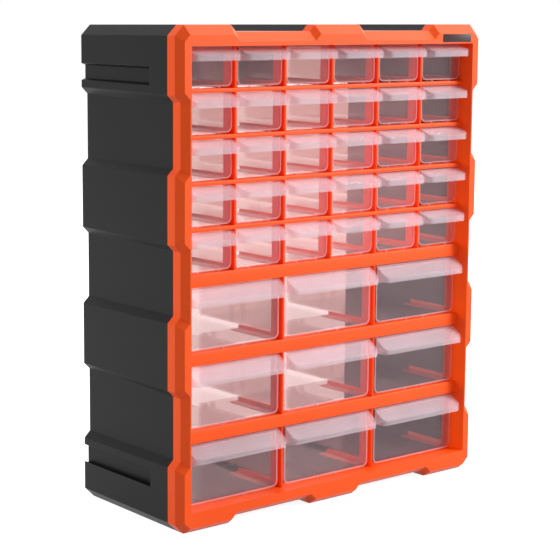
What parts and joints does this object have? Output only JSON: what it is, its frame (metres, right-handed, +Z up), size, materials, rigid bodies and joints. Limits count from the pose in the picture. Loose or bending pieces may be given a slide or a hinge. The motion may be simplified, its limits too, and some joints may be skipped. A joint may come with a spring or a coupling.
{
  "type": "parts bin cabinet",
  "caption": "Free-standing parts cabinet: a black moulded case with an orange front frame and rows of small and large see-through pull-out drawers with hooded handles.",
  "frame": {"origin": "under the middle of the cabinet, on the surface that it stands on", "axes": "+X to the right seen from the front, the drawers' side faces -Y, +Z up"},
  "size_m": [0.38, 0.16, 0.462],
  "materials": {
    "case_black": "satin moulded",
    "frame_orange": "satin moulded",
    "drawer_clear": "clear moulded",
    "plate_dark": "printed film"
  },
  "bodies": {
    "cabinet": {"rear_case": "case_black", "front_frame": "frame_orange", "label_plate": "plate_dark", "left_side_runners": "frame_orange", "right_side_runners": "frame_orange", "small_column_runners_1": "frame_orange", "small_column_runners_2": "frame_orange", "small_column_runners_3": "frame_orange", "small_column_runners_4": "frame_orange", "small_column_runners_5": "frame_orange", "large_column_runners_1": "frame_orange", "large_column_runners_2": "frame_orange", "small_row_bar_1": "frame_orange", "small_row_bar_2": "frame_orange", "small_row_bar_3": "frame_orange", "small_row_bar_4": "frame_orange", "large_row_bar_1": "frame_orange", "large_row_bar_2": "frame_orange", "large_row_bar_3": "frame_orange"},
    "small_drawer_r1c1": {"small_drawer_r1c1": "drawer_clear"},
    "small_drawer_r1c2": {"small_drawer_r1c2": "drawer_clear"},
    "small_drawer_r1c3": {"small_drawer_r1c3": "drawer_clear"},
    "small_drawer_r1c4": {"small_drawer_r1c4": "drawer_clear"},
    "small_drawer_r1c5": {"small_drawer_r1c5": "drawer_clear"},
    "small_drawer_r1c6": {"small_drawer_r1c6": "drawer_clear"},
    "small_drawer_r2c1": {"small_drawer_r2c1": "drawer_clear"},
    "small_drawer_r2c2": {"small_drawer_r2c2": "drawer_clear"},
    "small_drawer_r2c3": {"small_drawer_r2c3": "drawer_clear"},
    "small_drawer_r2c4": {"small_drawer_r2c4": "drawer_clear"},
    "small_drawer_r2c5": {"small_drawer_r2c5": "drawer_clear"},
    "small_drawer_r2c6": {"small_drawer_r2c6": "drawer_clear"},
    "small_drawer_r3c1": {"small_drawer_r3c1": "drawer_clear"},
    "small_drawer_r3c2": {"small_drawer_r3c2": "drawer_clear"},
    "small_drawer_r3c3": {"small_drawer_r3c3": "drawer_clear"},
    "small_drawer_r3c4": {"small_drawer_r3c4": "drawer_clear"},
    "small_drawer_r3c5": {"small_drawer_r3c5": "drawer_clear"},
    "small_drawer_r3c6": {"small_drawer_r3c6": "drawer_clear"},
    "small_drawer_r4c1": {"small_drawer_r4c1": "drawer_clear"},
    "small_drawer_r4c2": {"small_drawer_r4c2": "drawer_clear"},
    "small_drawer_r4c3": {"small_drawer_r4c3": "drawer_clear"},
    "small_drawer_r4c4": {"small_drawer_r4c4": "drawer_clear"},
    "small_drawer_r4c5": {"small_drawer_r4c5": "drawer_clear"},
    "small_drawer_r4c6": {"small_drawer_r4c6": "drawer_clear"},
    "small_drawer_r5c1": {"small_drawer_r5c1": "drawer_clear"},
    "small_drawer_r5c2": {"small_drawer_r5c2": "drawer_clear"},
    "small_drawer_r5c3": {"small_drawer_r5c3": "drawer_clear"},
    "small_drawer_r5c4": {"small_drawer_r5c4": "drawer_clear"},
    "small_drawer_r5c5": {"small_drawer_r5c5": "drawer_clear"},
    "small_drawer_r5c6": {"small_drawer_r5c6": "drawer_clear"},
    "large_drawer_r1c1": {"large_drawer_r1c1": "drawer_clear"},
    "large_drawer_r1c2": {"large_drawer_r1c2": "drawer_clear"},
    "large_drawer_r1c3": {"large_drawer_r1c3": "drawer_clear"},
    "large_drawer_r2c1": {"large_drawer_r2c1": "drawer_clear"},
    "large_drawer_r2c2": {"large_drawer_r2c2": "drawer_clear"},
    "large_drawer_r2c3": {"large_drawer_r2c3": "drawer_clear"},
    "large_drawer_r3c1": {"large_drawer_r3c1": "drawer_clear"},
    "large_drawer_r3c2": {"large_drawer_r3c2": "drawer_clear"},
    "large_drawer_r3c3": {"large_drawer_r3c3": "drawer_clear"}
  },
  "joints": [
    {"name": "small_drawer_r1c1_slide", "type": "slide", "parent": "cabinet", "child": "small_drawer_r1c1", "axis": [0, -1, 0], "range_m": [0, 0.1]},
    {"name": "small_drawer_r1c2_slide", "type": "slide", "parent": "cabinet", "child": "small_drawer_r1c2", "axis": [0, -1, 0], "range_m": [0, 0.1]},
    {"name": "small_drawer_r1c3_slide", "type": "slide", "parent": "cabinet", "child": "small_drawer_r1c3", "axis": [0, -1, 0], "range_m": [0, 0.1]},
    {"name": "small_drawer_r1c4_slide", "type": "slide", "parent": "cabinet", "child": "small_drawer_r1c4", "axis": [0, -1, 0], "range_m": [0, 0.1]},
    {"name": "small_drawer_r1c5_slide", "type": "slide", "parent": "cabinet", "child": "small_drawer_r1c5", "axis": [0, -1, 0], "range_m": [0, 0.1]},
    {"name": "small_drawer_r1c6_slide", "type": "slide", "parent": "cabinet", "child": "small_drawer_r1c6", "axis": [0, -1, 0], "range_m": [0, 0.1]},
    {"name": "small_drawer_r2c1_slide", "type": "slide", "parent": "cabinet", "child": "small_drawer_r2c1", "axis": [0, -1, 0], "range_m": [0, 0.1]},
    {"name": "small_drawer_r2c2_slide", "type": "slide", "parent": "cabinet", "child": "small_drawer_r2c2", "axis": [0, -1, 0], "range_m": [0, 0.1]},
    {"name": "small_drawer_r2c3_slide", "type": "slide", "parent": "cabinet", "child": "small_drawer_r2c3", "axis": [0, -1, 0], "range_m": [0, 0.1]},
    {"name": "small_drawer_r2c4_slide", "type": "slide", "parent": "cabinet", "child": "small_drawer_r2c4", "axis": [0, -1, 0], "range_m": [0, 0.1]},
    {"name": "small_drawer_r2c5_slide", "type": "slide", "parent": "cabinet", "child": "small_drawer_r2c5", "axis": [0, -1, 0], "range_m": [0, 0.1]},
    {"name": "small_drawer_r2c6_slide", "type": "slide", "parent": "cabinet", "child": "small_drawer_r2c6", "axis": [0, -1, 0], "range_m": [0, 0.1]},
    {"name": "small_drawer_r3c1_slide", "type": "slide", "parent": "cabinet", "child": "small_drawer_r3c1", "axis": [0, -1, 0], "range_m": [0, 0.1]},
    {"name": "small_drawer_r3c2_slide", "type": "slide", "parent": "cabinet", "child": "small_drawer_r3c2", "axis": [0, -1, 0], "range_m": [0, 0.1]},
    {"name": "small_drawer_r3c3_slide", "type": "slide", "parent": "cabinet", "child": "small_drawer_r3c3", "axis": [0, -1, 0], "range_m": [0, 0.1]},
    {"name": "small_drawer_r3c4_slide", "type": "slide", "parent": "cabinet", "child": "small_drawer_r3c4", "axis": [0, -1, 0], "range_m": [0, 0.1]},
    {"name": "small_drawer_r3c5_slide", "type": "slide", "parent": "cabinet", "child": "small_drawer_r3c5", "axis": [0, -1, 0], "range_m": [0, 0.1]},
    {"name": "small_drawer_r3c6_slide", "type": "slide", "parent": "cabinet", "child": "small_drawer_r3c6", "axis": [0, -1, 0], "range_m": [0, 0.1]},
    {"name": "small_drawer_r4c1_slide", "type": "slide", "parent": "cabinet", "child": "small_drawer_r4c1", "axis": [0, -1, 0], "range_m": [0, 0.1]},
    {"name": "small_drawer_r4c2_slide", "type": "slide", "parent": "cabinet", "child": "small_drawer_r4c2", "axis": [0, -1, 0], "range_m": [0, 0.1]},
    {"name": "small_drawer_r4c3_slide", "type": "slide", "parent": "cabinet", "child": "small_drawer_r4c3", "axis": [0, -1, 0], "range_m": [0, 0.1]},
    {"name": "small_drawer_r4c4_slide", "type": "slide", "parent": "cabinet", "child": "small_drawer_r4c4", "axis": [0, -1, 0], "range_m": [0, 0.1]},
    {"name": "small_drawer_r4c5_slide", "type": "slide", "parent": "cabinet", "child": "small_drawer_r4c5", "axis": [0, -1, 0], "range_m": [0, 0.1]},
    {"name": "small_drawer_r4c6_slide", "type": "slide", "parent": "cabinet", "child": "small_drawer_r4c6", "axis": [0, -1, 0], "range_m": [0, 0.1]},
    {"name": "small_drawer_r5c1_slide", "type": "slide", "parent": "cabinet", "child": "small_drawer_r5c1", "axis": [0, -1, 0], "range_m": [0, 0.1]},
    {"name": "small_drawer_r5c2_slide", "type": "slide", "parent": "cabinet", "child": "small_drawer_r5c2", "axis": [0, -1, 0], "range_m": [0, 0.1]},
    {"name": "small_drawer_r5c3_slide", "type": "slide", "parent": "cabinet", "child": "small_drawer_r5c3", "axis": [0, -1, 0], "range_m": [0, 0.1]},
    {"name": "small_drawer_r5c4_slide", "type": "slide", "parent": "cabinet", "child": "small_drawer_r5c4", "axis": [0, -1, 0], "range_m": [0, 0.1]},
    {"name": "small_drawer_r5c5_slide", "type": "slide", "parent": "cabinet", "child": "small_drawer_r5c5", "axis": [0, -1, 0], "range_m": [0, 0.1]},
    {"name": "small_drawer_r5c6_slide", "type": "slide", "parent": "cabinet", "child": "small_drawer_r5c6", "axis": [0, -1, 0], "range_m": [0, 0.1]},
    {"name": "large_drawer_r1c1_slide", "type": "slide", "parent": "cabinet", "child": "large_drawer_r1c1", "axis": [0, -1, 0], "range_m": [0, 0.1]},
    {"name": "large_drawer_r1c2_slide", "type": "slide", "parent": "cabinet", "child": "large_drawer_r1c2", "axis": [0, -1, 0], "range_m": [0, 0.1]},
    {"name": "large_drawer_r1c3_slide", "type": "slide", "parent": "cabinet", "child": "large_drawer_r1c3", "axis": [0, -1, 0], "range_m": [0, 0.1]},
    {"name": "large_drawer_r2c1_slide", "type": "slide", "parent": "cabinet", "child": "large_drawer_r2c1", "axis": [0, -1, 0], "range_m": [0, 0.1]},
    {"name": "large_drawer_r2c2_slide", "type": "slide", "parent": "cabinet", "child": "large_drawer_r2c2", "axis": [0, -1, 0], "range_m": [0, 0.1]},
    {"name": "large_drawer_r2c3_slide", "type": "slide", "parent": "cabinet", "child": "large_drawer_r2c3", "axis": [0, -1, 0], "range_m": [0, 0.1]},
    {"name": "large_drawer_r3c1_slide", "type": "slide", "parent": "cabinet", "child": "large_drawer_r3c1", "axis": [0, -1, 0], "range_m": [0, 0.1]},
    {"name": "large_drawer_r3c2_slide", "type": "slide", "parent": "cabinet", "child": "large_drawer_r3c2", "axis": [0, -1, 0], "range_m": [0, 0.1]},
    {"name": "large_drawer_r3c3_slide", "type": "slide", "parent": "cabinet", "child": "large_drawer_r3c3", "axis": [0, -1, 0], "range_m": [0, 0.1]}
  ]
}
